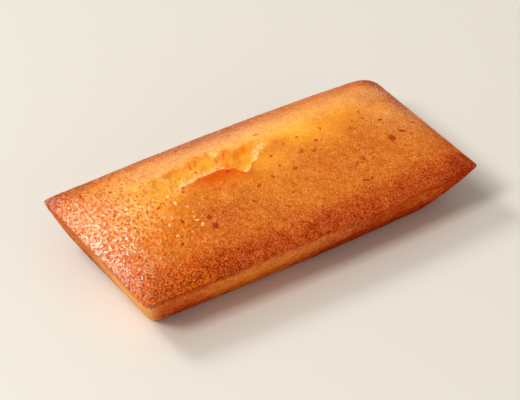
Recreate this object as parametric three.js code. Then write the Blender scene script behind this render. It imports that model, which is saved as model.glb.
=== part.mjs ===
// A financier: a small almond cake baked in a tapered bar mould, domed on top and torn open along its crest.
// Millimetres, +Z up. The origin is the centre of the flat base, and +X runs along the length.
import * as THREE from "three";

const { smoothstep, clamp, lerp } = THREE.MathUtils;

// Plan and wall sizes. The rim is the widest outline, and the base is smaller than it on every side.
const RIM_LENGTH = 86.5;
const RIM_WIDTH = 44.6;
const RIM_HEIGHT = 10.5;
const BASE_INSET = { end: 4.7, side: 5.75 };
const FOOT_RADIUS = 0.9; // rounding between the wall and the base
const WALL_BULGE = 0.35; // how far the wall swells out at half its height
const SIDE_BOW = { left: 0.7, right: 1.5 }; // how much the half width falls from mid length to each end
const CORNER_RADIUS = {
  left: { front: { rim: 0.8, base: 2.4 }, back: { rim: 0.8, base: 3.5 } },
  right: { front: { rim: 0.9, base: 9 }, back: { rim: 4.2, base: 5 } },
};

// The top: a quick rise just inside the rim, a broad crown whose crest lies behind the middle, and slow
// swells, given by their height and their lengths along and across.
const EDGE_RISE = 2.2;
const EDGE_REACH = 3.6;
const HIP_BLEND = 1.4; // softens the hip where two edge rises meet at a corner
const CROWN_HEIGHT = 2.6;
const CROWN_FLATNESS = 3; // power of the fall towards the ends
const CREST_SHIFT = 0.14; // share of the half width
const SWELLS = [
  { height: 0.16, along: 30, across: 33, shift: 1.1 },
  { height: 0.1, along: 13.4, across: 11.9, shift: -0.7 },
];

// The tear along the crest, as stations: place along the length, its line across the width, how far the
// crumb behind it has sunk, how far back the sunken floor reaches, and how far the crust in front curls up.
const TEAR = [
  { x: -29, y: -0.9, sink: 0.0, reach: 3.0, curl: 0.0 },
  { x: -22, y: 1.8, sink: 0.3, reach: 5.5, curl: 0.15 },
  { x: -18, y: 3.7, sink: 0.6, reach: 7.0, curl: 0.35 },
  { x: -13.5, y: 4.3, sink: 0.8, reach: 7.6, curl: 0.5 },
  { x: -9, y: 4.4, sink: 0.9, reach: 8.0, curl: 0.65 },
  { x: -6.6, y: 3.3, sink: 1.3, reach: 8.4, curl: 0.7 },
  { x: -4.4, y: 0.3, sink: 1.6, reach: 9.6, curl: 0.7 },
  { x: -0.6, y: 2.8, sink: 1.4, reach: 7.2, curl: 0.5 },
  { x: 2.7, y: 5.4, sink: 0.7, reach: 4.6, curl: 0.35 },
  { x: 6, y: 6.6, sink: 0.12, reach: 4.0, curl: 0.1 },
  { x: 10, y: 6.6, sink: 0.0, reach: 3.0, curl: 0.0 },
  { x: 30, y: 4, sink: 0.0, reach: 3.0, curl: 0.0 },
];
const TEAR_STEP = 0.9; // width of the broken face
const CURL_REACH = 2.6;
const FLOOR_START = 0.15; // share of the reach where the sunken floor starts to climb

// Smooth pockets in the torn crumb: their middles, half lengths along and across, and depths.
const POCKETS = [
  { x: -2.4, y: 6.2, along: 4.8, across: 3.8, depth: 1.2 },
  { x: -9.8, y: 9.6, along: 3.8, across: 2.8, depth: 0.8 },
  { x: -16.4, y: 8.6, along: 3.8, across: 2.6, depth: 0.7 },
  { x: -21.4, y: 8.0, along: 2.8, across: 2.0, depth: 0.5 },
  { x: -24, y: 5.4, along: 2.6, across: 1.8, depth: 0.4 },
];
const POCKET_FLOOR = 0.45; // share of a pocket's half length that is its flat floor

// Facets: cells along and across the top, and the heights of the wall's rows as shares of the rim height.
const CELLS_ALONG = 74;
const CELLS_ACROSS = 42;
const TEAR_ROW = 24; // the row of cells across that is bent to follow the tear
const EDGE_CROWDING = 0.3; // how much closer the cells lie near the rim
const WALL_LEVELS = [0.93, 0.6, 0.28, 0.08, 0.025, 0];

const HALF_LENGTH = RIM_LENGTH / 2;
const HALF_WIDTH = RIM_WIDTH / 2;
const TURN = 2 * Math.PI;

// A value of the tear at a place along the length, eased from each station to the next.
function tearAt(key, x) {
  let value = TEAR[0][key];
  for (let i = 1; i < TEAR.length; i++) {
    value += (TEAR[i][key] - TEAR[i - 1][key]) * smoothstep(x, TEAR[i - 1].x, TEAR[i].x);
  }
  return value;
}

// Depth of the pockets at a place.
function pocketDepth(x, y) {
  let depth = 0;
  for (const pocket of POCKETS) {
    const out = Math.hypot((x - pocket.x) / pocket.along, (y - pocket.y) / pocket.across);
    depth += pocket.depth * (1 - smoothstep(out, POCKET_FLOOR, 1));
  }
  return depth;
}

// Height added by the tear: the crust curls up in front of the line, and the crumb behind it has sunk.
function tearHeight(x, y) {
  const behind = y - tearAt("y", x);
  const broken = smoothstep(behind, -TEAR_STEP / 2, TEAR_STEP / 2);
  const floor = 1 - smoothstep(behind / tearAt("reach", x), FLOOR_START, 1);
  const curled = Math.exp(Math.min(behind, 0) / CURL_REACH);
  const sunk = tearAt("sink", x) * floor + pocketDepth(x, y);
  return tearAt("curl", x) * curled * (1 - broken) - sunk * broken;
}

// The smaller of two distances, blended where they are alike.
function softMin(a, b, blend) {
  const h = clamp(0.5 + (b - a) / (2 * blend), 0, 1);
  return lerp(b, a, h) - blend * h * (1 - h);
}

// Slow swells that keep the top from being a perfect form.
function swell(x, y) {
  let height = 0;
  for (const wave of SWELLS) {
    const along = Math.sin((TURN * x) / wave.along + wave.shift);
    const across = Math.cos((TURN * y) / wave.across - wave.shift);
    height += wave.height * along * across;
  }
  return height;
}

// Turns a point of the square from -1 to 1 into plan coordinates, at a share of the rim's height and inset
// from the rim at the ends and the sides, with round corners and bowed sides.
function planPoint(u, v, level, inset) {
  const end = u < 0 ? "left" : "right";
  const corner = CORNER_RADIUS[end][v < 0 ? "front" : "back"];
  const cornerRadius = lerp(corner.base, corner.rim, level);
  const length = HALF_LENGTH - inset.end;
  const width = HALF_WIDTH - inset.side;
  const straight = new THREE.Vector2(length - cornerRadius, width - cornerRadius);
  const x = Math.abs(u) * length;
  const y = Math.abs(v) * width;
  const i = Math.max(0, (x - straight.x) / cornerRadius);
  const j = Math.max(0, (y - straight.y) / cornerRadius);
  const rounded = new THREE.Vector2(
    Math.min(x, straight.x) + cornerRadius * i * Math.sqrt(1 - (j * j) / 2),
    Math.min(y, straight.y) + cornerRadius * j * Math.sqrt(1 - (i * i) / 2),
  );
  const acrossShare = 1 - (SIDE_BOW[end] * u * u) / HALF_WIDTH;
  return new THREE.Vector2(Math.sign(u) * rounded.x, Math.sign(v) * rounded.y * acrossShare);
}

// A point of the domed top.
function topPoint(u, v) {
  const { x, y } = planPoint(u, v, 1, { end: 0, side: 0 });
  const toEnd = HALF_LENGTH * (1 - Math.abs(u));
  const toSide = HALF_WIDTH * (1 - Math.abs(v));
  const inside = Math.max(0, softMin(toEnd, toSide, HIP_BLEND));
  const edge = EDGE_RISE * (1 - Math.exp(-inside / EDGE_REACH));
  const fromCrest = v - CREST_SHIFT * (1 - v * v);
  const crown = CROWN_HEIGHT * (1 - Math.abs(u) ** CROWN_FLATNESS) * (1 - fromCrest ** 2);
  const settled = smoothstep(inside, 0, EDGE_REACH);
  const relief = settled * (swell(x, y) + tearHeight(x, y));
  return new THREE.Vector3(x, y, RIM_HEIGHT + edge + crown + relief);
}

// A point of the sloping wall, at a share of the rim's height.
function wallPoint(u, v, level) {
  const z = RIM_HEIGHT * level;
  const intoFoot = Math.max(0, FOOT_RADIUS - z);
  const foot = FOOT_RADIUS - Math.sqrt(FOOT_RADIUS ** 2 - intoFoot ** 2);
  const bulge = WALL_BULGE * Math.sin(Math.PI * level);
  const inset = {
    end: BASE_INSET.end * (1 - level) - bulge + foot,
    side: BASE_INSET.side * (1 - level) - bulge + foot,
  };
  const { x, y } = planPoint(u, v, level, inset);
  return new THREE.Vector3(x, y, z);
}

// Cell lines from -1 to 1, closer together towards both ends.
function cellLines(count) {
  return Array.from({ length: count + 1 }, (_, i) => {
    const s = (2 * i) / count - 1;
    return lerp(s, Math.sin((s * Math.PI) / 2), EDGE_CROWDING);
  });
}

// Bends the cell lines across the top so that one row of cells runs along the tear. The outline stays.
function bendToTear(u, v, rowMiddle) {
  const share = ((1 - v * v) / (1 - rowMiddle * rowMiddle)) ** 2;
  return v + share * (tearAt("y", u * HALF_LENGTH) / HALF_WIDTH - rowMiddle);
}

// The closed skin: a grid over the top, rows of the wall below its outline, and a fan over the base.
function cakeGeometry() {
  const along = cellLines(CELLS_ALONG);
  const across = cellLines(CELLS_ACROSS);
  const points = [];
  const triangles = [];
  const add = (point) => points.push(point) - 1;
  const addQuad = (a, b, c, d) => triangles.push(a, b, c, a, c, d);

  const rowMiddle = (across[TEAR_ROW] + across[TEAR_ROW + 1]) / 2;
  const top = across.map((v) => along.map((u) => add(topPoint(u, bendToTear(u, v, rowMiddle)))));
  for (let j = 0; j < CELLS_ACROSS; j++) {
    for (let i = 0; i < CELLS_ALONG; i++) {
      addQuad(top[j][i], top[j][i + 1], top[j + 1][i + 1], top[j + 1][i]);
    }
  }

  // The rim, anticlockwise from above: front side, right end, back side, left end.
  const outline = [];
  for (let i = 0; i < CELLS_ALONG; i++) {
    outline.push([i, 0]);
  }
  for (let j = 0; j < CELLS_ACROSS; j++) {
    outline.push([CELLS_ALONG, j]);
  }
  for (let i = CELLS_ALONG; i > 0; i--) {
    outline.push([i, CELLS_ACROSS]);
  }
  for (let j = CELLS_ACROSS; j > 0; j--) {
    outline.push([0, j]);
  }

  let upper = outline.map(([i, j]) => top[j][i]);
  for (const level of WALL_LEVELS) {
    const lower = outline.map(([i, j]) => add(wallPoint(along[i], across[j], level)));
    outline.forEach((_, k) => {
      const next = (k + 1) % outline.length;
      addQuad(lower[k], lower[next], upper[next], upper[k]);
    });
    upper = lower;
  }

  const baseCentre = add(new THREE.Vector3(0, 0, 0));
  outline.forEach((_, k) => triangles.push(upper[(k + 1) % outline.length], upper[k], baseCentre));

  const geometry = new THREE.BufferGeometry().setFromPoints(points);
  geometry.setIndex(triangles);
  geometry.computeVertexNormals();
  return geometry;
}

const crust = new THREE.MeshStandardMaterial({ color: 0xd9822e, roughness: 0.5, metalness: 0 });

const financier = new THREE.Group();
const cake = new THREE.Mesh(cakeGeometry(), crust);
cake.name = "cake";
financier.add(cake);

export default financier;
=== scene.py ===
import math
from types import SimpleNamespace

import bpy
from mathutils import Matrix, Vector


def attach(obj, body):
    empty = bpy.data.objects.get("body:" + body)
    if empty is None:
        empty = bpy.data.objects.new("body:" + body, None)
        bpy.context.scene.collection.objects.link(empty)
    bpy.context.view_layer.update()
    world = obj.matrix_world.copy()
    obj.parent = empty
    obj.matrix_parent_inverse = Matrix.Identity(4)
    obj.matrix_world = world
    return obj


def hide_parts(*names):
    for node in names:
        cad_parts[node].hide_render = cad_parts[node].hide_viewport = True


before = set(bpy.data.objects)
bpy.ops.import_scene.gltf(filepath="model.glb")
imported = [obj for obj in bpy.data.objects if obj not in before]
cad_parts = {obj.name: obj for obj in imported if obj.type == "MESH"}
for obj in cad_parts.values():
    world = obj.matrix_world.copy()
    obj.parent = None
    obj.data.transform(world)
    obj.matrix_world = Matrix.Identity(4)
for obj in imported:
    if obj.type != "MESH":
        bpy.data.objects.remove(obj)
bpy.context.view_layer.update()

# The cake's sizes, in millimetres, as in the part's solid.
MM = 0.001
RIM_LENGTH = 86.5
RIM_WIDTH = 44.6
RIM_HEIGHT = 10.5
END_INSET = 4.7
SIDE_INSET = 5.75
FOOT_RADIUS = 0.9
WALL_BULGE = 0.35
RIM_ROUND = 0.6
SIDE_BOW = (0.7, 1.5)  # left, right
RIM_RADIUS = ((0.8, 0.9), (0.8, 4.2))  # front left and right, back left and right
BASE_RADIUS = ((2.4, 9.0), (3.5, 5.0))
EDGE_RISE = 2.2
EDGE_REACH = 3.6
HIP_BLEND = 1.0
CROWN_HEIGHT = 2.6
CROWN_FLATNESS = 3.0
CREST_SHIFT = 0.14
SWELLS = ((0.16, 30.0, 33.0, 1.1), (0.1, 13.4, 11.9, -0.7))  # height, length along, length across, shift
HALF_LENGTH = RIM_LENGTH / 2
HALF_WIDTH = RIM_WIDTH / 2

# The tear's stations: place along, line across, sunken depth, reach of the sunken floor, curl of the lip.
TEAR = (
    {"x": -29.0, "y": -0.9, "sink": 0.0, "reach": 3.0, "curl": 0.0},
    {"x": -22.0, "y": 1.8, "sink": 0.3, "reach": 5.5, "curl": 0.15},
    {"x": -18.0, "y": 3.7, "sink": 0.6, "reach": 7.0, "curl": 0.35},
    {"x": -13.5, "y": 4.3, "sink": 0.8, "reach": 7.6, "curl": 0.5},
    {"x": -9.0, "y": 4.4, "sink": 0.9, "reach": 8.0, "curl": 0.65},
    {"x": -6.6, "y": 3.3, "sink": 1.3, "reach": 8.4, "curl": 0.7},
    {"x": -4.4, "y": 0.3, "sink": 1.6, "reach": 9.6, "curl": 0.7},
    {"x": -0.6, "y": 2.8, "sink": 1.4, "reach": 7.2, "curl": 0.5},
    {"x": 2.7, "y": 5.4, "sink": 0.7, "reach": 4.6, "curl": 0.35},
    {"x": 6.0, "y": 6.6, "sink": 0.12, "reach": 4.0, "curl": 0.1},
    {"x": 10.0, "y": 6.6, "sink": 0.0, "reach": 3.0, "curl": 0.0},
    {"x": 30.0, "y": 4.0, "sink": 0.0, "reach": 3.0, "curl": 0.0},
)
TEAR_STEP = 0.6
CURL_REACH = 2.6
FLOOR_START = 0.15
TEAR_ROW = 0.17  # the line across, as a share of the half width, that is bent to follow the tear

# Smooth pockets in the torn crumb: place along and across, half lengths along and across, depth.
POCKETS = (
    (-2.4, 6.2, 4.8, 3.8, 1.2),
    (-9.8, 9.6, 3.8, 2.8, 0.8),
    (-16.4, 8.6, 3.8, 2.6, 0.7),
    (-21.4, 8.0, 2.8, 2.0, 0.5),
    (-24.0, 5.4, 2.6, 1.8, 0.4),
)

# Browner and paler blotches of the top: place along and its reach, place across and its reach, amount.
BLOTCHES = (
    (-17.0, 8.0, -9.0, 6.0, 0.14),
    (21.0, 7.0, -5.0, 5.0, 0.07),
    (2.0, 4.5, 0.5, 3.5, -0.2),
    (12.0, 7.0, 7.0, 4.0, -0.16),
    (7.0, 5.0, -6.0, 4.0, -0.05),
    (-29.0, 8.0, -18.0, 4.0, 0.19),
    (0.0, 4.0, -16.0, 3.0, 0.08),
    (9.0, 5.0, 10.0, 1.6, -0.1),
    (9.0, 3.5, 5.6, 1.6, 0.12),
    (-33.0, 7.0, -4.0, 9.0, -0.16),
    (-22.0, 5.0, 6.0, 4.0, 0.12),
    (17.0, 6.0, 3.5, 3.5, -0.13),
    (39.0, 4.0, 9.0, 6.0, 0.08),
    (30.0, 9.0, 1.0, 6.0, 0.05),
    (35.0, 3.5, 11.0, 3.0, 0.18),
    (-4.0, 12.0, 16.0, 2.0, 0.06),
)
DARKEST = 0.96  # the browning that the top does not pass

# Large almond flecks: place along and across, length, width, turn in degrees, tone from dark to orange.
LARGE_FLECKS = (
    (30.6, -5.3, 2.3, 1.7, 60.0, 0.35),
    (10.1, 0.4, 2.0, 0.8, 25.0, 0.6),
    (-19.4, -10.5, 1.9, 1.4, 20.0, 0.1),
    (-19.1, -7.6, 1.3, 0.9, 60.0, 0.1),
    (-15.3, -4.5, 1.5, 0.9, -20.0, 0.8),
    (-7.9, -8.4, 1.2, 0.45, -55.0, 0.0),
    (-4.5, -4.8, 1.3, 0.8, 40.0, 0.5),
    (-0.1, -3.8, 1.3, 0.5, -65.0, 0.3),
    (1.1, -10.1, 1.1, 0.5, 20.0, 0.15),
    (5.7, -4.0, 1.3, 0.9, 15.0, 0.5),
    (3.2, -1.6, 1.0, 0.6, 80.0, 0.5),
    (5.8, -15.0, 1.0, 0.8, 10.0, 0.75),
    (8.7, -9.5, 1.2, 0.9, 50.0, 0.85),
    (20.6, -8.5, 1.4, 0.8, 100.0, 0.5),
    (18.5, -9.4, 1.0, 0.6, 30.0, 0.4),
    (22.6, -9.4, 0.9, 0.5, 70.0, 0.4),
    (24.4, -6.3, 1.1, 0.7, 60.0, 0.6),
    (29.4, 6.1, 1.3, 0.6, 40.0, 0.6),
    (28.7, 3.8, 1.4, 0.7, 110.0, 0.7),
    (24.3, 1.8, 0.9, 0.5, 20.0, 0.5),
    (12.3, 5.1, 1.1, 0.6, 15.0, 0.7),
    (-17.3, 0.4, 1.0, 0.35, 57.0, 0.3),
    (-19.4, 2.1, 0.8, 0.4, -30.0, 0.3),
    (-25.2, -8.9, 0.8, 0.6, 30.0, 0.7),
    (-28.0, -11.3, 1.0, 0.4, 15.0, 0.1),
    (-12.0, -12.8, 0.7, 0.5, 0.0, 0.1),
    (-12.1, -15.4, 1.2, 0.3, -25.0, 0.4),
    (-14.2, 6.8, 0.8, 0.4, 20.0, 0.4),
    (-12.6, 7.6, 0.9, 0.4, -30.0, 0.4),
    (-31.7, 12.2, 1.0, 0.6, 75.0, 0.3),
)
FLECK_THICKNESS = 0.14
SMALL_FLECKS = 0.03  # to a square millimetre
SMALL_FLECK_SIZE = (0.25, 0.9)
CRUMB_GRAINS = 7.0  # to a square millimetre of torn edge
CRUMB_SIZE = (0.14, 0.5)
PER_SQUARE_METRE = 1.0e6
DROP_HEIGHT = 0.05  # metres, well above the cake

# Cells of the fine skin.
CELLS_ALONG = 400
CELLS_ACROSS = 196
WALL_ROWS = 16
EDGE_CROWDING = 0.25

# Colours of the crust, from pale gold to deep brown, and of what lies on it or shows through it.
CRUST_STOPS = (
    (0.0, (0.88, 0.42, 0.040)),
    (0.2, (0.81, 0.30, 0.025)),
    (0.4, (0.67, 0.207, 0.022)),
    (0.6, (0.55, 0.136, 0.016)),
    (0.8, (0.46, 0.076, 0.0095)),
    (1.0, (0.31, 0.032, 0.004)),
)
# The torn floor, from yellow to the deep orange of the painted shade on the pockets' far sides.
TORN_FLOOR_STOPS = (
    (0.0, (0.82, 0.41, 0.050)),
    (0.35, (0.80, 0.335, 0.036)),
    (1.0, (0.90, 0.215, 0.013)),
)
FLECK_STOPS = (
    (0.0, (0.28, 0.026, 0.002)),
    (0.4, (0.46, 0.044, 0.003)),
    (0.7, (0.60, 0.095, 0.006)),
    (1.0, (0.58, 0.145, 0.012)),
)
CRUMB_STOPS = (
    (0.0, (0.97, 0.63, 0.30)),
    (0.5, (0.96, 0.52, 0.16)),
    (1.0, (0.93, 0.40, 0.06)),
)
PIT_ORANGE = (0.70, 0.19, 0.012, 1.0)
HOLE_RED = (0.60, 0.095, 0.006, 1.0)
# A painted highlight: the pale lace of glints on the buttered ridges.
PAINTED_GLINT_PEACH = (0.82, 0.50, 0.26, 1.0)
WALL_TAN = (0.62, 0.225, 0.060, 1.0)
WALL_TINT = (1.07, 0.92, 0.85)
# A painted sheen: the peach of a grazing reflection at the back and the right.
PAINTED_SHEEN_PEACH = (0.84, 0.43, 0.22, 1.0)
BACK_RIM_BROWN = (0.36, 0.085, 0.022, 1.0)
MOIST_ORANGE = (0.64, 0.095, 0.004, 1.0)
LIP_ORANGE = (0.69, 0.080, 0.003, 1.0)
CRUMB_AND_GLINT_YELLOW = (0.96, 0.64, 0.25, 1.0)
FLECK_EDGE = (0.62, 0.165, 0.015, 1.0)
PALE_FLOOR = (0.66, 0.645, 0.59, 1.0)

# The camera: angles in degrees, lengths in millimetres, and the picture in pixels.
CAMERA_AZIMUTH = -33.6
CAMERA_ELEVATION = 37.6
CAMERA_DISTANCE = 559.67
CAMERA_TARGET = (3.73, 7.05, 0.0)
SENSOR_WIDTH = 36.0
FOCAL_PIXELS = 2500.0
PICTURE_WIDTH = 520.0


class Field:
    """A value in a node tree. Arithmetic on it adds Math nodes."""

    def __init__(self, tree, socket):
        self.tree = tree
        self.socket = socket

    def beside(self, output):
        """Another output of the node that this value comes from."""
        return Field(self.tree, self.socket.node.outputs[output])

    def math(self, operation, *others):
        return add(self.tree, "ShaderNodeMath", (self, *others), operation=operation)

    def __add__(self, other):
        return self.math("ADD", other)

    def __sub__(self, other):
        return self.math("SUBTRACT", other)

    def __mul__(self, other):
        return self.math("MULTIPLY", other)

    def __truediv__(self, other):
        return self.math("DIVIDE", other)

    def __pow__(self, other):
        return self.math("POWER", other)

    def __rsub__(self, other):
        return self * -1.0 + other

    def __neg__(self):
        return self * -1.0

    def __abs__(self):
        return self.math("ABSOLUTE")

    __radd__ = __add__
    __rmul__ = __mul__

    def exp(self):
        return self.math("EXPONENT")

    def sqrt(self):
        return self.math("SQRT")

    def least(self, other):
        return self.math("MINIMUM", other)

    def most(self, other):
        return self.math("MAXIMUM", other)

    def above(self, limit):
        return self.math("GREATER_THAN", limit)

    def smooth(self, low, high):
        """0 up to the low value, 1 from the high one on, and eased between them."""
        inputs = (self, low, high, 0.0, 1.0)
        return add(self.tree, "ShaderNodeMapRange", inputs, interpolation_type="SMOOTHSTEP")

    def limited(self):
        return self.most(0.0).least(1.0)

    def fade(self, reach):
        """1 at zero and falling off with distance."""
        return (self * (-1.0 / reach)).exp()

    def hump(self, middle, reach):
        """1 at the middle and falling off to both sides."""
        off = (self - middle) / reach
        return (-(off * off)).exp()

    def mix(self, other, share):
        return self + (other - self) * share


def set_inputs(tree, node, pairs):
    """Links fields to a node's sockets, and sets plain values on them."""
    for key, value in pairs:
        if isinstance(value, Field):
            tree.links.new(value.socket, node.inputs[key])
        else:
            node.inputs[key].default_value = value


def add(tree, kind, inputs=(), output=0, **settings):
    """Adds a node with its settings and inputs, and gives one of its outputs."""
    node = tree.nodes.new(kind)
    for name, value in settings.items():
        setattr(node, name, value)
    set_inputs(tree, node, inputs.items() if isinstance(inputs, dict) else enumerate(inputs))
    return Field(tree, node.outputs[output])


def split(vector):
    """The three parts of a vector."""
    first = add(vector.tree, "ShaderNodeSeparateXYZ", (vector,))
    return [first.beside(output) for output in range(3)]


def joined(tree, x, y, z):
    return add(tree, "ShaderNodeCombineXYZ", (x, y, z))


def in_mm(vector):
    """A vector in metres, turned to millimetres."""
    return add(vector.tree, "ShaderNodeVectorMath", (vector, (1000.0, 1000.0, 1000.0)), operation="MULTIPLY")


def noise(where, size, seed=0.0, detail=2.0):
    """Noise about zero, from about -0.5 to 0.5, whose lumps are about that size."""
    inputs = {"Vector": where, "W": seed, "Scale": 1.0 / size, "Detail": detail}
    return add(where.tree, "ShaderNodeTexNoise", inputs, noise_dimensions="4D") - 0.5


def cells(where, size, flat=True):
    """A cell pattern: the distance to the cell's middle, and a value of the cell's own."""
    inputs = {"Vector": where, "Scale": 1.0 / size}
    kind = "2D" if flat else "3D"
    distance = add(where.tree, "ShaderNodeTexVoronoi", inputs, voronoi_dimensions=kind)
    return distance, split(distance.beside("Color"))[0]


def pick(corner, right, back):
    """One of four corner values, by the side of the length and of the width."""
    (front_left, front_right), (back_left, back_right) = corner
    front = right * (front_right - front_left) + front_left
    rear = right * (back_right - back_left) + back_left
    return front.mix(rear, back)


def new_tree(name, kind, inputs, outputs):
    """A node tree with named sockets, and its input fields by name."""
    tree = bpy.data.node_groups.new(name, kind)
    for label, (socket_type, value) in inputs.items():
        socket = tree.interface.new_socket(label, in_out="INPUT", socket_type=socket_type)
        if value is not None:
            socket.default_value = value
    for label, socket_type in outputs.items():
        tree.interface.new_socket(label, in_out="OUTPUT", socket_type=socket_type)
    entry = tree.nodes.new("NodeGroupInput")
    fields = {label: Field(tree, entry.outputs[label]) for label in inputs}
    return tree, fields


def tree_ends(tree, **values):
    """Joins the tree's results to its output sockets."""
    set_inputs(tree, tree.nodes.new("NodeGroupOutput"), values.items())


def stored(geometry, name, value, domain="POINT"):
    """Keeps a value on the points of a mesh or on its instances, for the materials."""
    inputs = {"Geometry": geometry, "Name": name, "Value": value}
    return add(geometry.tree, "GeometryNodeStoreNamedAttribute", inputs, data_type="FLOAT", domain=domain)


def named(tree, name):
    """A value that was kept under this name."""
    return add(tree, "GeometryNodeInputNamedAttribute", {"Name": name}, data_type="FLOAT")


def position(tree):
    """The parts of a point's place: along, across and up."""
    return split(add(tree, "GeometryNodeInputPosition"))


def dressed(geometry, material):
    """Shades a mesh smooth and gives it its material."""
    smooth = add(geometry.tree, "GeometryNodeSetShadeSmooth", {"Geometry": geometry})
    return add(geometry.tree, "GeometryNodeSetMaterial", {"Geometry": smooth, "Material": material})


def tear_fields(x):
    """The tear's values at a place along the length, eased from station to station."""
    eased = [x.smooth(a["x"], b["x"]) for a, b in zip(TEAR, TEAR[1:])]
    values = {}
    for key in ("y", "sink", "reach", "curl"):
        total = eased[0] * 0.0 + TEAR[0][key]
        for share, a, b in zip(eased, TEAR, TEAR[1:]):
            if a[key] != b[key]:
                total = total + share * (b[key] - a[key])
        values[key] = total
    return values


def wall_inset(given, along, across, level, top):
    """How far the wall lies inside its plain slope, and the streaks that run along it."""
    tree = level.tree
    seed = given["Seed"]
    wall_z = level * RIM_HEIGHT
    into_foot = (FOOT_RADIUS - wall_z).most(0.0)
    foot = FOOT_RADIUS - (FOOT_RADIUS**2 - into_foot * into_foot).sqrt()
    bulge = (level * math.pi).math("SINE") * WALL_BULGE
    flat = joined(tree, along, across, 0.0)
    wave = noise(flat, 9.0, seed) + noise(flat, 2.6, seed) * 0.5 + noise(flat, 1.0, seed) * 0.4
    wave = wave * given["Rim wave"]
    drawn_out = joined(tree, along * 0.3, across * 0.3, wall_z)
    streak = noise(drawn_out, 1.1, seed, 3.0)
    on_wall = joined(tree, along, across, wall_z)
    grain = noise(on_wall, 3.0, seed, 3.0) * 0.25 + noise(on_wall, 0.8, seed) * 0.16 + streak * 0.2
    inset = foot - bulge + wave * level.smooth(0.2, 1.0) + grain * level.smooth(0.0, 0.15) * (1.0 - top)
    under_rim = (1.0 - (1.0 - level) * (RIM_HEIGHT / RIM_ROUND)).most(0.0)
    return inset + under_rim * under_rim * (RIM_ROUND * 0.2), streak


def plan_place(u, v, level, inset):
    """Where a point lies in plan, with the round corners and the bowed sides."""
    right = u.above(0.0)
    back = v.above(0.0)
    radius = pick(BASE_RADIUS, right, back).mix(pick(RIM_RADIUS, right, back), level)
    length = HALF_LENGTH - (1.0 - level) * END_INSET - inset
    width = HALF_WIDTH - (1.0 - level) * SIDE_INSET - inset
    reach_x = abs(u) * length
    reach_y = abs(v) * width
    i = ((reach_x - length + radius) / radius).most(0.0)
    j = ((reach_y - width + radius) / radius).most(0.0)
    round_x = reach_x.least(length - radius) + radius * i * (1.0 - j * j * 0.5).sqrt()
    round_y = reach_y.least(width - radius) + radius * j * (1.0 - i * i * 0.5).sqrt()
    side_bow = right * (SIDE_BOW[1] - SIDE_BOW[0]) + SIDE_BOW[0]
    x = u.math("SIGN") * round_x
    y = v.math("SIGN") * round_y * (1.0 - side_bow * u * u / HALF_WIDTH)
    return x, y


def dome_rise(u, v, x, y):
    """The dome above the rim, its slow swells, and how far inside the rim a point lies."""
    to_end = (1.0 - abs(u)) * HALF_LENGTH
    to_side = (1.0 - abs(v)) * HALF_WIDTH
    hip = ((to_side - to_end) / (2.0 * HIP_BLEND) + 0.5).limited()
    inside = (to_side.mix(to_end, hip) - hip * (1.0 - hip) * HIP_BLEND).most(0.0)
    edge = (1.0 - inside.fade(EDGE_REACH)) * EDGE_RISE
    from_crest = v - (1.0 - v * v) * CREST_SHIFT
    crown = (1.0 - abs(u) ** CROWN_FLATNESS) * (1.0 - from_crest * from_crest) * CROWN_HEIGHT
    swell = x * 0.0
    for height, length, width, shift in SWELLS:
        along = (x * (math.tau / length) + shift).math("SINE")
        across = (y * (math.tau / width) - shift).math("COSINE")
        swell = swell + along * across * height
    return edge + crown, swell, inside


def pocket_fields(plan, x, y, seed):
    """The smooth pockets of the torn crumb: their bowls, depth, far sides that get painted shade, and near
    edges.
    """
    drawn_x = x + noise(plan, 4.5, seed + 11.0) * 5.0
    drawn_y = y + noise(plan, 4.5, seed + 12.0) * 5.0
    ragged = noise(plan, 2.0, seed, 3.0) * 0.8
    uneven = noise(plan, 3.4, seed + 3.0) * 0.8
    bowls = depth = painted_shade_sides = near_edges = x * 0.0
    for middle_x, middle_y, half_x, half_y, deepest in POCKETS:
        from_x = (drawn_x - middle_x) / half_x
        from_y = (drawn_y - middle_y) / half_y
        ring = (from_x * from_x + from_y * from_y).sqrt() + ragged + uneven
        bowl = 1.0 - ring.smooth(0.35, 1.1)
        bowls = bowls.most(bowl)
        depth = depth + bowl * deepest
        far = from_y.smooth(0.1, 0.8).most((-from_x).smooth(0.35, 0.8))
        painted_shade_sides = painted_shade_sides.most((1.0 - ring.smooth(0.9, 1.35)) * far * min(deepest, 1.0))
        near_edges = near_edges.most(ring.hump(1.0, 0.2) * (1.0 - from_y.smooth(0.0, 0.7)))
    return bowls, depth, painted_shade_sides, near_edges


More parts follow.
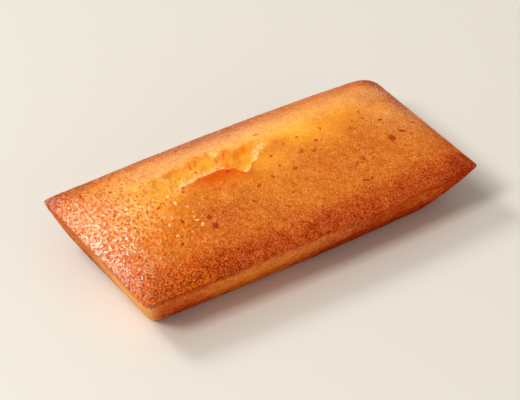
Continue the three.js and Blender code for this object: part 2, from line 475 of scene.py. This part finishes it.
def tear_relief(tear, plan, x, y, seed):
    """The tear: the lip curls up in front of its line, and the lumpy crumb behind it has sunk."""
    behind = y - tear["y"]
    broken = behind.smooth(-TEAR_STEP / 2, TEAR_STEP / 2)
    into = behind / tear["reach"] + noise(plan, 1.9, seed, 3.0) * 0.5
    floor = 1.0 - into.smooth(FLOOR_START, 1.0)
    curled = (-behind).most(0.0).fade(CURL_REACH)
    deep = tear["sink"].smooth(0.1, 0.7)
    bowls, depth, painted_shade_sides, near_edges = pocket_fields(plan, x, y, seed)
    pocket = bowls * broken
    share = (broken * (1.0 - into.smooth(0.8, 1.0)) * deep).most(pocket)
    lumps = noise(plan, 1.5, seed) * 0.6 + noise(plan, 0.7, seed) * 0.35
    lumps = lumps * share * (1.0 - pocket * 0.8)
    height = tear["curl"] * curled * (1.0 - broken) - tear["sink"] * broken * floor + lumps
    height = height - depth * broken

    # Painted shade: the far sides of the pockets are a deeper orange. Pale crumb shows along the lip and the
    # near edges, partly as a painted highlight.
    patchy = (noise(plan, 2.4, seed + 5.0) * 3.0 + 0.75).limited()
    ragged = (noise(plan, 0.9, seed) * 4.0 + 0.5).limited()
    # The lip's edge, brightest by the crater's right wall, is pale crumb and partly a painted highlight.
    lip_edge = behind.hump(0.9, 1.0) * deep * (ragged * 1.2 + x.hump(-0.5, 4.0) * 0.5)
    crumb_edge = (lip_edge + near_edges * broken * ragged * 0.7).limited() * (1.0 - pocket * 0.7)
    return SimpleNamespace(
        behind=behind,
        share=share,
        height=height,
        shade=painted_shade_sides * broken * patchy,
        crumb_edge=crumb_edge,
    )


def crust_pits(plan, x, y, seed):
    """Pits of the crust, open and deep at the left end and faint on the dome, and loose crumbs there, whose
    pale spots also stand for painted sparkles.
    """
    tree = plan.tree
    drift_x = noise(plan, 0.8, seed, 1.0) * 0.7
    drift_y = noise(plan, 0.8, seed + 7.0, 1.0) * 0.7
    warped = add(tree, "ShaderNodeVectorMath", (plan, joined(tree, drift_x, drift_y, 0.0)))
    spot, own = cells(warped, 0.5)
    wide_spot, wide_own = cells(warped, 1.15)
    open_crust = 1.0 - (x + noise(plan, 6.0, seed) * 10.0).smooth(-34.0, -12.0)
    opened = (own * 0.7 + open_crust - 0.75).smooth(0.0, 0.4)
    hole = (1.0 - wide_spot.smooth(0.2, 0.5)) * (wide_own + open_crust * 0.4 - 0.7).smooth(0.0, 0.1)
    pit = ((1.0 - spot.smooth(0.2, 0.6)) * opened).most(hole) * (open_crust * 0.8 + 0.2)
    small_pit = (-noise(plan, 0.5, seed, 1.0)).smooth(0.1, 0.3) * (open_crust * 0.4 + 0.1)
    crumb_spot, crumb_own = cells(warped, 1.5)
    loose = (1.0 - crumb_spot.smooth(0.1, 0.24)) * crumb_own.smooth(0.62, 0.7)
    return SimpleNamespace(
        pit=pit,
        depth=pit + small_pit,
        hole=hole * open_crust,
        crumbs_and_sparkles=loose * x.hump(-24.0, 7.0) * y.hump(-3.0, 9.0),
    )


def rim_band(distance, ragged, start, end):
    """1 at a rim, and down to 0 between two ragged distances from it."""
    return 1.0 - (distance + ragged).smooth(start, end)


def rim_line(distance, rag, reach):
    """A thin ragged line that hugs a rim."""
    return (distance + rag * 1.5).most(0.0).fade(reach)


def top_browning(x, y, ahead, to, rag):
    """How brown the top is, from pale gold at 0 to deep brown at 1."""
    # It darkens from behind the tear to the front, and most in a ragged band along the front rim.
    brown = ahead.smooth(-7.0, 6.0) * 0.36 + ahead.smooth(3.0, 14.0) * 0.1 + 0.06
    front_brown = (1.0 - x.smooth(-36.0, -4.0)) * 0.08 - x.smooth(6.0, 26.0) * 0.06 + 0.36
    brown = brown + rim_band(to.front, rag * 4.0, 1.5, 8.0) * front_brown
    for along, along_reach, across, across_reach, amount in BLOTCHES:
        brown = brown + x.hump(along, along_reach) * y.hump(across, across_reach) * amount

    # The back has a wide band, a narrow one and a line along its rim.
    back_brown = x.smooth(-34.0, -12.0) * 0.24 - x.smooth(10.0, 30.0) * 0.08 + 0.24
    brown = brown + rim_band(to.back, rag * 4.0, 3.0, 12.0) * back_brown
    brown = brown + rim_band(to.back, rag * 3.0, 0.5, 4.0) * 0.34
    brown = brown + rim_line(to.back, rag, 1.2) * (1.0 - x.smooth(22.0, 36.0)) * 0.16
    brown = brown + x.smooth(12.0, 26.0) * y.hump(8.5, 4.0) * 0.15

    # The ends have a band and a line each, and the front right corner is the darkest.
    brown = brown + rim_band(to.left, rag * 6.0, 0.5, 14.0) * (y.smooth(-2.0, 14.0) * 0.1 + 0.27)
    brown = brown + rim_line(to.left, rag, 1.1) * (y.smooth(-6.0, 12.0) * 0.2 + 0.2)
    brown = brown + rim_band(to.right, rag * 4.0, 0.5, 6.5) * (y.smooth(-2.0, 8.0) * 0.34 + 0.14)
    brown = brown + rim_line(to.right, rag, 0.9) * y.smooth(-14.0, -4.0) * 0.22
    brown = brown + x.smooth(22.0, 43.0) * (1.0 - y.smooth(-22.0, -10.0)) * 0.22
    brown = brown + x.smooth(33.0, 43.0) * (1.0 - y.smooth(-22.0, -13.0)) * 0.3
    return brown.least(DARKEST)


def wall_browning(x, y, level, to, streak):
    """How brown the wall is: tan under the rim, darker to the foot, partly browner and partly painted shade,
    and browner to the right.
    """
    brown = (1.0 - x.smooth(-34.0, -22.0)) * 0.26 + x.smooth(-8.0, 12.0) * 0.38 + 0.47
    brown = brown - x.smooth(14.0, 30.0) * 0.08 + x.smooth(31.0, 38.0) * 0.2
    # Darker to the foot: partly browner crust, partly painted shade.
    brown = brown + (1.0 - level.smooth(0.05, 0.7)) * 0.3 + streak * 0.6
    return brown - to.left.fade(1.5) * (0.7 - y.smooth(-12.0, 8.0) * 0.6)


def buttery_gloss(plan, x, y, seed):
    """Where butter makes the crust shine: most at the left end, less at the back and the right."""
    uneven_x = x + (1.0 - y.smooth(-12.0, 4.0)) * 6.0 + noise(plan, 3.0, seed) * 14.0
    left = (1.0 - uneven_x.smooth(-37.0, -20.0)) * (y.hump(0.0, 14.0) * 0.8 + 0.2)
    back = y.smooth(5.0, 12.0) * (1.0 - y.smooth(14.0, 19.0) * 0.5) * (0.5 - x.smooth(0.0, 25.0) * 0.3)
    right = x.smooth(32.0, 41.0) * y.smooth(-10.0, 4.0) * 0.12 + 0.04
    front_dull = (1.0 - y.smooth(-22.0, -12.0)) * 0.5
    return left.most(back).most(right) * (1.0 - front_dull)


def painted_sheen(x, y, to, top):
    """Where a peach sheen is painted on: behind the crest, at the right and along the back; and where the
    left end wall is paler.
    """
    crest = y.hump(13.2, 3.2) * x.smooth(-34.0, -20.0) + x.hump(-34.0, 8.0) * y.hump(10.0, 6.0) * 0.7
    right = x.smooth(26.0, 34.0) * y.hump(3.0, 8.0) * 0.7
    back = y.smooth(17.0, 21.0) * (x.smooth(10.0, 20.0) * 0.6 - x.smooth(22.0, 34.0) * 0.5 + 0.9)
    left_wall = to.left.fade(1.5) * (1.6 - y.smooth(-8.0, 8.0) * 1.3)
    return (crest + right + back) * top + left_wall * (1.0 - top)


def cake_tree():
    """Shapes the blank skin, whose points are (along, across, level), into the cake."""
    tree, given = new_tree("cake body", "GeometryNodeTree", {
        "Geometry": ("NodeSocketGeometry", None),
        "Rim wave": ("NodeSocketFloat", 0.4),
        "Rim bead": ("NodeSocketFloat", 0.3),
        "Pit depth": ("NodeSocketFloat", 0.18),
        "Grain": ("NodeSocketFloat", 0.12),
        "Tear rag": ("NodeSocketFloat", 0.7),
        "Seed": ("NodeSocketFloat", 0.0),
        "Material": ("NodeSocketMaterial", None),
    }, {"Geometry": "NodeSocketGeometry"})
    seed = given["Seed"]
    u, v, level = position(tree)
    top = level.above(0.999)

    # The cell lines of the top are bent to the ragged line of the tear.
    along = u * HALF_LENGTH
    tear = tear_fields(along)
    on_line = joined(tree, along, 0.0, 0.0)
    tear_rag = noise(on_line, 2.2, seed, 3.0) + noise(on_line, 0.8, seed) * 0.4
    tear["y"] = tear["y"] + tear_rag * given["Tear rag"]
    bend = ((1.0 - v * v) / (1.0 - TEAR_ROW**2)) ** 2.0
    v = v + top * bend * (tear["y"] / HALF_WIDTH - TEAR_ROW)
    to = SimpleNamespace(
        front=(v + 1.0) * HALF_WIDTH,
        back=(1.0 - v) * HALF_WIDTH,
        left=(u + 1.0) * HALF_LENGTH,
        right=(1.0 - u) * HALF_LENGTH,
    )

    # The plan, the dome, the tear and the pits.
    inset, streak = wall_inset(given, along, v * HALF_WIDTH, level, top)
    x, y = plan_place(u, v, level, inset)
    plan = joined(tree, x, y, 0.0)
    dome, swell, inside = dome_rise(u, v, x, y)
    torn = tear_relief(tear, plan, x, y, seed)
    pits = crust_pits(plan, x, y, seed)
    crust = 1.0 - torn.share

    # The rim is a little rounded and has a wavy bead, which is lower at the left.
    near_rim = (-(inside * inside) / 0.3).exp() * (-((1.0 - level) ** 2.0) * 250.0).exp()
    at_left = to.left.fade(1.5)
    bead = near_rim * given["Rim bead"] * (noise(plan, 3.0, seed) + 0.8) * (1.0 - at_left * 0.7)
    rounded = (1.0 - inside / RIM_ROUND).most(0.0)
    worn = near_rim.least(rounded * rounded) * RIM_ROUND * 0.2

    # The height of the top, with its fine grain.
    grain = (noise(plan, 2.4, seed, 3.0) + noise(plan, 0.7, seed, 3.0) * 1.2) * given["Grain"]
    pitted = pits.depth * crust
    fine = grain * inside.smooth(0.0, 1.0) - pitted * given["Pit depth"] * inside.smooth(0.0, 0.4)
    relief = inside.smooth(0.0, EDGE_REACH) * (swell + torn.height)
    z = level * RIM_HEIGHT + (top * (dome + relief + fine) - worn) + bead

    # What the materials read: how brown the crust is, where crumb and pits show, where butter shines, and
    # where sheen, glints and shade are painted.
    ahead = -torn.behind
    brown = top_browning(x, y, ahead, to, noise(plan, 4.0, seed, 3.0))
    on_wall = 1.0 - (level + streak * 0.3).smooth(0.78, 0.99)
    brown = brown.mix(wall_browning(x, y, level, to, streak), on_wall)
    # Painted highlight: a lighter line along the front rim, where the edge catches the light.
    brown = brown - near_rim * y.smooth(-20.0, -14.0) * 0.2 * (1.0 - at_left)
    moist = x.hump(-10.0, 8.0) * ahead.smooth(-0.4, 0.3) * ahead.most(0.0).fade(4.2) * top
    butter = buttery_gloss(plan, x, y, seed) * (1.0 - pits.pit * 0.95) * top.most(near_rim * 0.8)
    back_band = to.back + noise(plan, 1.2, seed) * 2.0 - x.hump(-3.0, 12.0) * 1.5
    back_rim = (1.0 - back_band.smooth(2.0, 5.5)) * (1.0 - x.smooth(10.0, 26.0) * 0.6)
    clear_top = inside.smooth(1.5, 4.0) * (1.0 - torn.share.smooth(0.0, 0.2))
    under_rim = (level + streak * 0.7).smooth(0.35, 0.75) * (1.0 - (level + streak * 0.3).smooth(0.86, 1.02))
    front_wall = (1.0 - x.smooth(0.0, 20.0)) * (x.smooth(-33.0, -22.0) * 0.65 + 0.35)
    looks = {
        "browning": brown,
        "torn": torn.share * top,
        "shade": torn.shade * top,
        "crumb_edge": torn.crumb_edge.most(pits.crumbs_and_sparkles * 0.9) * top,
        "pit": pitted * top,
        "hole": pits.hole * crust * top,
        "back_rim": back_rim * top,
        "butter": butter * (1.0 - moist) * crust,
        "moist": moist,
        "crust_top": top * clear_top * (1.0 - y.smooth(2.0, 9.0) * 0.75),
        "wall_tan": (1.0 - top) * under_rim * front_wall,
        "wall": (1.0 - top) * to.left.smooth(0.5, 3.0),
        # pale: a painted sheen on the top, and a paler left end wall.
        "pale": painted_sheen(x, y, to, top),
    }
    shown = given["Geometry"]
    for name, value in looks.items():
        shown = stored(shown, name, value)
    placed = add(tree, "GeometryNodeSetPosition", {
        "Geometry": shown,
        "Position": joined(tree, x * MM, y * MM, z * MM),
    })
    tree_ends(tree, Geometry=dressed(placed, given["Material"]))
    return tree


def drawn(tree, low, high, seed):
    """A random value of each point's own."""
    return add(tree, "FunctionNodeRandomValue", {2: low, 3: high, "Seed": seed}, output=1, data_type="FLOAT")


def rolled(tree, up, turn):
    """A rotation that stands on a surface and is turned about its upright."""
    upright = add(tree, "FunctionNodeAlignRotationToVector", {"Vector": up}, axis="Z")
    spin = add(tree, "FunctionNodeEulerToRotation", (joined(tree, 0.0, 0.0, turn),))
    return add(tree, "FunctionNodeRotateRotation", (upright, spin), rotation_space="LOCAL")


def strewn(cake, density, seed):
    """Points scattered over the cake, with the surface's upright at each."""
    inputs = {"Mesh": cake, "Density": density, "Seed": seed}
    points = add(cake.tree, "GeometryNodeDistributePointsOnFaces", inputs)
    return points, points.beside("Normal")


def dropped(tree, cake):
    """Where a point lands that falls straight down on to the cake."""
    along, across, _ = position(tree)
    return add(tree, "GeometryNodeRaycast", {
        "Target Geometry": cake,
        "Source Position": joined(tree, along, across, DROP_HEIGHT),
        "Ray Direction": (0.0, 0.0, -1.0),
        "Ray Length": 2.0 * DROP_HEIGHT,
    }, output="Hit Position")


def roughened(geometry, size, amount, seed):
    """Pushes the points of small pieces about, so that no two are alike."""
    tree = geometry.tree
    where = in_mm(add(tree, "GeometryNodeInputPosition"))
    push = [noise(where, size, seed + shift, 1.0) * (amount * MM) for shift in (0.0, 5.0, 9.0)]
    return add(tree, "GeometryNodeSetPosition", {"Geometry": geometry, "Offset": joined(tree, *push)})


def draped(pieces, cake, thick):
    """Lets thin pieces follow the cake's relief: each point lies at its own lift above it."""
    tree = pieces.tree
    along, across, _ = position(tree)
    height = split(dropped(tree, cake))[2] + named(tree, "lift") * thick
    place = joined(tree, along, across, height)
    return add(tree, "GeometryNodeSetPosition", {"Geometry": pieces, "Position": place})


def fleck_tree():
    """Lays flecks of almond skin on the cake: large ones at the given points, and small ones all over."""
    tree, given = new_tree("almond flecks", "GeometryNodeTree", {
        "Geometry": ("NodeSocketGeometry", None),
        "Cake": ("NodeSocketObject", None),
        "Thickness": ("NodeSocketFloat", FLECK_THICKNESS),
        "Small flecks": ("NodeSocketFloat", SMALL_FLECKS),
        "Seed": ("NodeSocketInt", 3),
        "Material": ("NodeSocketMaterial", None),
    }, {"Geometry": "NodeSocketGeometry"})
    seed = given["Seed"]
    cake = add(tree, "GeometryNodeObjectInfo", {"Object": given["Cake"]}, output="Geometry")
    thick = given["Thickness"] * (MM / 2)
    ball = add(tree, "GeometryNodeMeshIcoSphere", {"Radius": 1.0, "Subdivisions": 3})
    ball = stored(ball, "lift", position(tree)[2])

    # The large flecks drop straight down on to the cake.
    landed = dropped(tree, cake)
    length = named(tree, "length") * (MM / 2)
    width = named(tree, "width") * (MM / 2)
    laid = add(tree, "GeometryNodeInstanceOnPoints", {
        "Points": add(tree, "GeometryNodeSetPosition", {"Geometry": given["Geometry"], "Position": landed}),
        "Instance": ball,
        "Rotation": rolled(tree, landed.beside("Hit Normal"), named(tree, "turn")),
        "Scale": joined(tree, length, width, thick),
    })
    laid = stored(laid, "tone", named(tree, "shade"), "INSTANCE")

    # The small ones are strewn over the top.
    density = named(tree, "crust_top") * given["Small flecks"] * PER_SQUARE_METRE
    points, normal = strewn(cake, density, seed)
    small = drawn(tree, *SMALL_FLECK_SIZE, seed + 2)
    scattered = add(tree, "GeometryNodeInstanceOnPoints", {
        "Points": points,
        "Instance": ball,
        "Rotation": rolled(tree, normal, drawn(tree, 0.0, math.tau, seed + 3)),
        "Scale": joined(tree, small * MM, small * drawn(tree, 0.2, 0.5, seed + 4) * MM, thick * 0.8),
    })
    scattered = stored(scattered, "tone", drawn(tree, 0.1, 0.85, seed + 5), "INSTANCE")
    both = add(tree, "GeometryNodeJoinGeometry")
    for part in (laid, scattered):
        tree.links.new(part.socket, both.socket.node.inputs[0])
    whole = add(tree, "GeometryNodeRealizeInstances", {"Geometry": both})
    whole = roughened(roughened(whole, 1.1, 1.2, 2.0), 0.5, 0.6, 4.0)
    tree_ends(tree, Geometry=dressed(draped(whole, cake, thick), given["Material"]))
    return tree


def crumb_tree():
    """Strews crumb grains along the torn edges of the cake."""
    tree, given = new_tree("crumb grains", "GeometryNodeTree", {
        "Geometry": ("NodeSocketGeometry", None),
        "Cake": ("NodeSocketObject", None),
        "Grains": ("NodeSocketFloat", CRUMB_GRAINS),
        "Seed": ("NodeSocketInt", 8),
        "Material": ("NodeSocketMaterial", None),
    }, {"Geometry": "NodeSocketGeometry"})
    seed = given["Seed"]
    cake = add(tree, "GeometryNodeObjectInfo", {"Object": given["Cake"]}, output="Geometry")
    density = named(tree, "crumb_edge").smooth(0.25, 0.9) * given["Grains"] * PER_SQUARE_METRE
    points, normal = strewn(cake, density, seed)
    size = drawn(tree, *CRUMB_SIZE, seed + 1)
    grains = add(tree, "GeometryNodeInstanceOnPoints", {
        "Points": points,
        "Instance": add(tree, "GeometryNodeMeshIcoSphere", {"Radius": 1.0, "Subdivisions": 2}),
        "Rotation": rolled(tree, normal, drawn(tree, 0.0, math.tau, seed + 2)),
        "Scale": joined(tree, size * MM, size * drawn(tree, 0.5, 1.0, seed + 3) * MM, size * 0.55 * MM),
    })
    grains = stored(grains, "tone", drawn(tree, 0.0, 1.0, seed + 4), "INSTANCE")
    whole = add(tree, "GeometryNodeRealizeInstances", {"Geometry": grains})
    tree_ends(tree, Geometry=dressed(roughened(whole, 0.5, 0.35, 3.0), given["Material"]))
    return tree


def cell_lines(count):
    """Lines from -1 to 1, closer together towards both ends."""
    lines = []
    for i in range(count + 1):
        s = 2.0 * i / count - 1.0
        lines.append(s + (math.sin(s * math.pi / 2) - s) * EDGE_CROWDING)
    return lines


def new_piece(name, points, faces=()):
    mesh = bpy.data.meshes.new(name)
    mesh.from_pydata(points, [], faces)
    piece = bpy.data.objects.new(name, mesh)
    bpy.context.scene.collection.objects.link(piece)
    return piece


def blank_skin(name):
    """The closed skin before it is shaped: points are (along, across, level)."""
    along = cell_lines(CELLS_ALONG)
    across = cell_lines(CELLS_ACROSS)
    points = [(u, v, 1.0) for v in across for u in along]
    wide = CELLS_ALONG + 1
    faces = []
    for j in range(CELLS_ACROSS):
        for i in range(CELLS_ALONG):
            first = j * wide + i
            faces.append((first, first + 1, first + wide + 1, first + wide))
    outline = [(i, 0) for i in range(CELLS_ALONG)]
    outline += [(CELLS_ALONG, j) for j in range(CELLS_ACROSS)]
    outline += [(i, CELLS_ACROSS) for i in range(CELLS_ALONG, 0, -1)]
    outline += [(0, j) for j in range(CELLS_ACROSS, 0, -1)]
    upper = [j * wide + i for i, j in outline]
    turn = len(outline)
    for row in range(1, WALL_ROWS + 1):
        level = 0.5 + 0.5 * math.cos(math.pi * row / WALL_ROWS)
        start = len(points)
        points += [(along[i], across[j], level) for i, j in outline]
        lower = list(range(start, start + turn))
        for k in range(turn):
            n = (k + 1) % turn
            faces.append((lower[k], lower[n], upper[n], upper[k]))
        upper = lower
    points.append((0.0, 0.0, 0.0))
    centre = len(points) - 1
    faces += [(upper[(k + 1) % turn], upper[k], centre) for k in range(turn)]
    return new_piece(name, points, faces)


def fleck_points(name):
    """Bare points for the large flecks, which carry their sizes, turns and tones."""
    piece = new_piece(name, [(along * MM, across * MM, 0.0) for along, across, *_ in LARGE_FLECKS])
    for column, label in ((2, "length"), (3, "width"), (4, "turn"), (5, "shade")):
        values = piece.data.attributes.new(label, "FLOAT", "POINT")
        for item, fleck in zip(values.data, LARGE_FLECKS):
            item.value = math.radians(fleck[column]) if label == "turn" else fleck[column]
    return piece


def shaped(piece, tree, **values):
    """Runs a tree on a piece with these inputs, and keeps the result as a plain mesh."""
    modifier = piece.modifiers.new(tree.name, "NODES")
    modifier.node_group = tree
    sockets = {item.name: item.identifier for item in tree.interface.items_tree if item.in_out == "INPUT"}
    for label, value in values.items():
        modifier[sockets[label]] = value
    bpy.context.view_layer.update()
    graph = bpy.context.evaluated_depsgraph_get()
    result = piece.evaluated_get(graph)
    mesh = bpy.data.meshes.new_from_object(result, preserve_all_data_layers=True, depsgraph=graph)
    piece.modifiers.clear()
    piece.data = mesh
    mesh.name = piece.name
    return piece


def attribute(tree, name):
    return add(tree, "ShaderNodeAttribute", output="Fac", attribute_name=name)


def ramp(share, stops):
    """A colour from stops of (place, colour)."""
    colour = add(share.tree, "ShaderNodeValToRGB", (share,))
    band = colour.socket.node.color_ramp
    for place, _ in stops[1:-1]:
        band.elements.new(place)
    for element, (place, value) in zip(band.elements, stops):
        element.position = place
        element.color = (*value, 1.0)
    return colour


def blended(first, second, share):
    inputs = {0: share, 6: first, 7: second}
    return add(share.tree, "ShaderNodeMix", inputs, output=2, data_type="RGBA")


def tinted(colour, gains):
    """A colour with its red, green and blue multiplied."""
    return add(colour.tree, "ShaderNodeVectorMath", (colour, gains), operation="MULTIPLY")


def bumped(height, distance, strength=1.0):
    """A normal that follows a height, whose full rise is this distance in metres."""
    inputs = {"Strength": strength, "Distance": distance, "Height": height}
    return add(height.tree, "ShaderNodeBump", inputs)


def new_material(name):
    material = bpy.data.materials.new(name)
    material.use_nodes = True
    tree = material.node_tree
    return material, tree, tree.nodes["Principled BSDF"]


def object_mm(tree):
    """Object coordinates in millimetres."""
    return in_mm(add(tree, "ShaderNodeTexCoord", output="Object"))


def grain_group():
    """Baked grain, in millimetres: a height with small pits, and a mottle and fine specks about zero."""
    tree, given = new_tree("baked grain", "ShaderNodeTree", {
        "Where": ("NodeSocketVector", None),
        "Pits": ("NodeSocketFloat", 0.0),
    }, {"Height": "NodeSocketFloat", "Mottle": "NodeSocketFloat", "Speck": "NodeSocketFloat"})
    where = given["Where"]
    drift = [noise(where, 0.8, seed, 1.0) for seed in (1.0, 6.0, 11.0)]
    warped = add(tree, "ShaderNodeVectorMath", (where, joined(tree, *drift)))
    spot, own = cells(warped, 0.95, False)
    small_spot, small_own = cells(warped, 0.5, False)
    pit = (1.0 - spot.smooth(0.1, 0.55)) * own.smooth(0.2, 0.7)
    small_pit = (1.0 - small_spot.smooth(0.1, 0.6)) * small_own.smooth(0.2, 0.8)
    height = noise(where, 0.6, 7.0) * 0.6
    height = height - pit * given["Pits"] - small_pit * (given["Pits"] * 0.4 + 0.1)
    mottle = noise(where, 5.0, 3.0, 3.0) * 0.6 + noise(where, 1.4, 5.0, 3.0) * 0.4 + small_pit * 0.05
    speck = noise(where, 0.28, 9.0) * 1.3
    speck = speck + noise(where, 0.6, 2.0, 1.0) * 0.4 + noise(where, 1.2, 4.0, 1.0) * 0.3
    tree_ends(tree, Height=height, Mottle=mottle, Speck=speck)
    return tree


def grained(tree, group, where, pits):
    """Places the baked grain in a material, and gives its height, mottle and specks."""
    height = add(tree, "ShaderNodeGroup", {"Where": where, "Pits": pits}, "Height", node_tree=group)
    return height, height.beside("Mottle"), height.beside("Speck")


def specked(colour, speck, amount):
    """Lightens and darkens a colour by fine specks, its blue the most, so that they look pale."""
    gains = [(speck * (amount * part) + 1.0).most(0.1) for part in (0.42, 1.0, 3.0)]
    return tinted(colour, joined(colour.tree, *gains))


def crust_colour(tree, mm, butter, mottle, speck):
    """Golden at the crest, orange on the dome and brown at the rim, with yellow crumb in the tear."""
    brown = attribute(tree, "browning")
    torn = attribute(tree, "torn")
    pit = attribute(tree, "pit")
    moist = attribute(tree, "moist")
    shade = attribute(tree, "shade")
    colour = ramp(brown + mottle * 0.6 * (1.0 - torn * 0.7) + pit * 0.1, CRUST_STOPS)
    colour = blended(colour, PIT_ORANGE, pit * 0.7)
    colour = blended(colour, HOLE_RED, attribute(tree, "hole") * 0.8)
    # Painted highlight: a pale lace of glints on the buttered ridges, on top of the real coat.
    painted_glint_lace = (noise(mm, 0.45, 3.0) * 3.0 + 0.5).limited()
    colour = blended(colour, PAINTED_GLINT_PEACH, butter * painted_glint_lace * 0.6)
    colour = blended(colour, WALL_TAN, attribute(tree, "wall_tan") * 0.5)
    colour = blended(colour, tinted(colour, WALL_TINT), attribute(tree, "wall"))
    # Painted sheen: a peach reflection behind the crest, at the right and along the back, and a paler left
    # end wall.
    colour = blended(colour, PAINTED_SHEEN_PEACH, attribute(tree, "pale") * 0.22)
    colour = blended(colour, BACK_RIM_BROWN, attribute(tree, "back_rim") * 0.52)
    colour = blended(colour, MOIST_ORANGE, moist.smooth(0.1, 0.7))
    colour = blended(colour, LIP_ORANGE, moist.smooth(0.5, 1.0) * 0.7)
    # Painted shade: the far sides of the pockets go to the floor's deepest orange.
    floor = ramp(shade * 0.8 + noise(mm, 2.0, 3.0) * 0.8 + mottle * 0.4 + 0.36, TORN_FLOOR_STOPS)
    colour = blended(colour, floor, torn.most(shade) * 0.9)
    # Pale crumb along the torn edges, partly a painted highlight where the edges catch the light.
    colour = blended(colour, CRUMB_AND_GLINT_YELLOW, attribute(tree, "crumb_edge") * 0.75)
    return specked(colour, speck, (brown * 5.6 - 0.8).most(0.9) * (1.0 - torn * 0.6))


def crust_material(group):
    """Browned crust under a patchy coat of butter."""
    material, tree, shader = new_material("crust")
    mm = object_mm(tree)
    torn = attribute(tree, "torn")
    butter = attribute(tree, "butter")
    height, mottle, speck = grained(tree, group, mm, attribute(tree, "pit"))
    drop, drop_own = cells(mm, 0.5, False)
    ripple = noise(mm, 0.34, 4.0) + drop.smooth(0.1, 0.6) * drop_own * 0.5
    patchy = noise(mm, 0.7, 8.0).smooth(-0.15, 0.05) * 0.6 + 0.4
    set_inputs(tree, shader, {
        "Base Color": crust_colour(tree, mm, butter, mottle, speck),
        "Roughness": noise(mm, 0.9, 2.0) * 0.25 + 0.5,
        "Normal": bumped(height * (1.0 - torn * 0.6), 0.00018),
        "Coat Normal": bumped(ripple, 0.00014),
        "Coat Weight": butter * patchy,
        "Coat Roughness": 0.12,
        "Coat IOR": 1.7,
        "Specular IOR Level": 0.0,
        "Subsurface Weight": 0.12,
        "Subsurface Radius": (1.0, 0.4, 0.15),
        "Subsurface Scale": 0.001,
    }.items())
    return material


def fleck_material(group):
    """Almond skin: red-brown to dark brown, a little glossy, and orange at its thin edges."""
    material, tree, shader = new_material("almond skin")
    height, mottle, speck = grained(tree, group, object_mm(tree), 0.2)
    colour = ramp(attribute(tree, "tone") + mottle * 0.4, FLECK_STOPS)
    colour = blended(FLECK_EDGE, colour, attribute(tree, "lift").smooth(-0.4, 0.25))
    set_inputs(tree, shader, {
        "Base Color": specked(colour, speck, 1.5),
        "Roughness": mottle * 0.3 + 0.5,
        "Normal": bumped(height, 0.0001, 0.6),
        "Specular IOR Level": 0.05,
    }.items())
    return material


def crumb_material(group):
    """Moist yellow crumb."""
    material, tree, shader = new_material("torn crumb")
    height, mottle, _ = grained(tree, group, object_mm(tree), 0.3)
    set_inputs(tree, shader, {
        "Base Color": ramp(attribute(tree, "tone") + mottle * 0.5, CRUMB_STOPS),
        "Roughness": mottle * 0.3 + 0.45,
        "Normal": bumped(height, 0.0002, 0.8),
        "Specular IOR Level": 0.3,
        "Subsurface Weight": 0.3,
        "Subsurface Radius": (1.0, 0.5, 0.2),
        "Subsurface Scale": 0.0006,
    }.items())
    return material


def floor_material():
    material, tree, shader = new_material("pale floor")
    set_inputs(tree, shader, {"Base Color": PALE_FLOOR, "Roughness": 0.6}.items())
    return material


def make_floor():
    half = 1.5
    corners = [(-half, -half, 0.0), (half, -half, 0.0), (half, half, 0.0), (-half, half, 0.0)]
    floor = new_piece("floor", corners, [(0, 1, 2, 3)])
    floor.data.materials.append(floor_material())


def make_camera():
    """The camera of the view, which looks at a point on the base."""
    azimuth = math.radians(CAMERA_AZIMUTH)
    elevation = math.radians(CAMERA_ELEVATION)
    away = Vector((
        math.sin(azimuth) * math.cos(elevation),
        -math.cos(azimuth) * math.cos(elevation),
        math.sin(elevation),
    ))
    data = bpy.data.cameras.new("camera")
    data.sensor_width = SENSOR_WIDTH
    data.lens = SENSOR_WIDTH * FOCAL_PIXELS / PICTURE_WIDTH
    data.clip_start = 0.01
    camera = bpy.data.objects.new("camera", data)
    camera.location = (Vector(CAMERA_TARGET) + away * CAMERA_DISTANCE) * MM
    camera.rotation_euler = away.to_track_quat("Z", "Y").to_euler()
    bpy.context.scene.collection.objects.link(camera)
    bpy.context.scene.camera = camera


def add_light(name, place, size, power, colour, sheen_only=False):
    """A square or oblong light that faces the cake. One for the sheen alone adds no other light."""
    data = bpy.data.lights.new(name, "AREA")
    data.shape = "RECTANGLE"
    data.size, data.size_y = size
    data.energy = power
    data.color = colour
    light = bpy.data.objects.new(name, data)
    light.location = place
    light.rotation_euler = Vector(place).to_track_quat("Z", "Y").to_euler()
    light.visible_diffuse = not sheen_only
    bpy.context.scene.collection.objects.link(light)


def light_scene():
    world = bpy.data.worlds.new("soft room")
    world.use_nodes = True
    background = world.node_tree.nodes["Background"]
    background.inputs["Color"].default_value = (1.0, 0.89, 0.79, 1.0)
    background.inputs["Strength"].default_value = 0.45
    bpy.context.scene.world = world
    add_light("side lamp", (-1.0, 0.0, 1.08), (0.4, 0.4), 12.5, (1.0, 0.99, 0.97))
    add_light("back window", (-0.5, 1.0, 1.0), (0.45, 0.45), 11.0, (1.0, 0.99, 0.98))
    add_light("window glow", (-0.62, 0.62, 1.25), (0.9, 0.9), 54.0, (1.0, 1.0, 0.99), sheen_only=True)
    add_light("front card", (0.2, -1.1, 0.3), (0.8, 0.5), 2.6, (1.0, 0.95, 0.88))
    bpy.context.scene.view_settings.view_transform = "Standard"


grain = grain_group()
cake = shaped(blank_skin("cake_crust"), cake_tree(), Material=crust_material(grain), Seed=4.0)
flecks = shaped(fleck_points("almond_flecks"), fleck_tree(), Cake=cake, Material=fleck_material(grain))
crumbs = shaped(new_piece("crumb_grains", []), crumb_tree(), Cake=cake, Material=crumb_material(grain))
for piece in (cake, flecks, crumbs):
    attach(piece, "root")
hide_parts("cake")

make_floor()
make_camera()
light_scene()
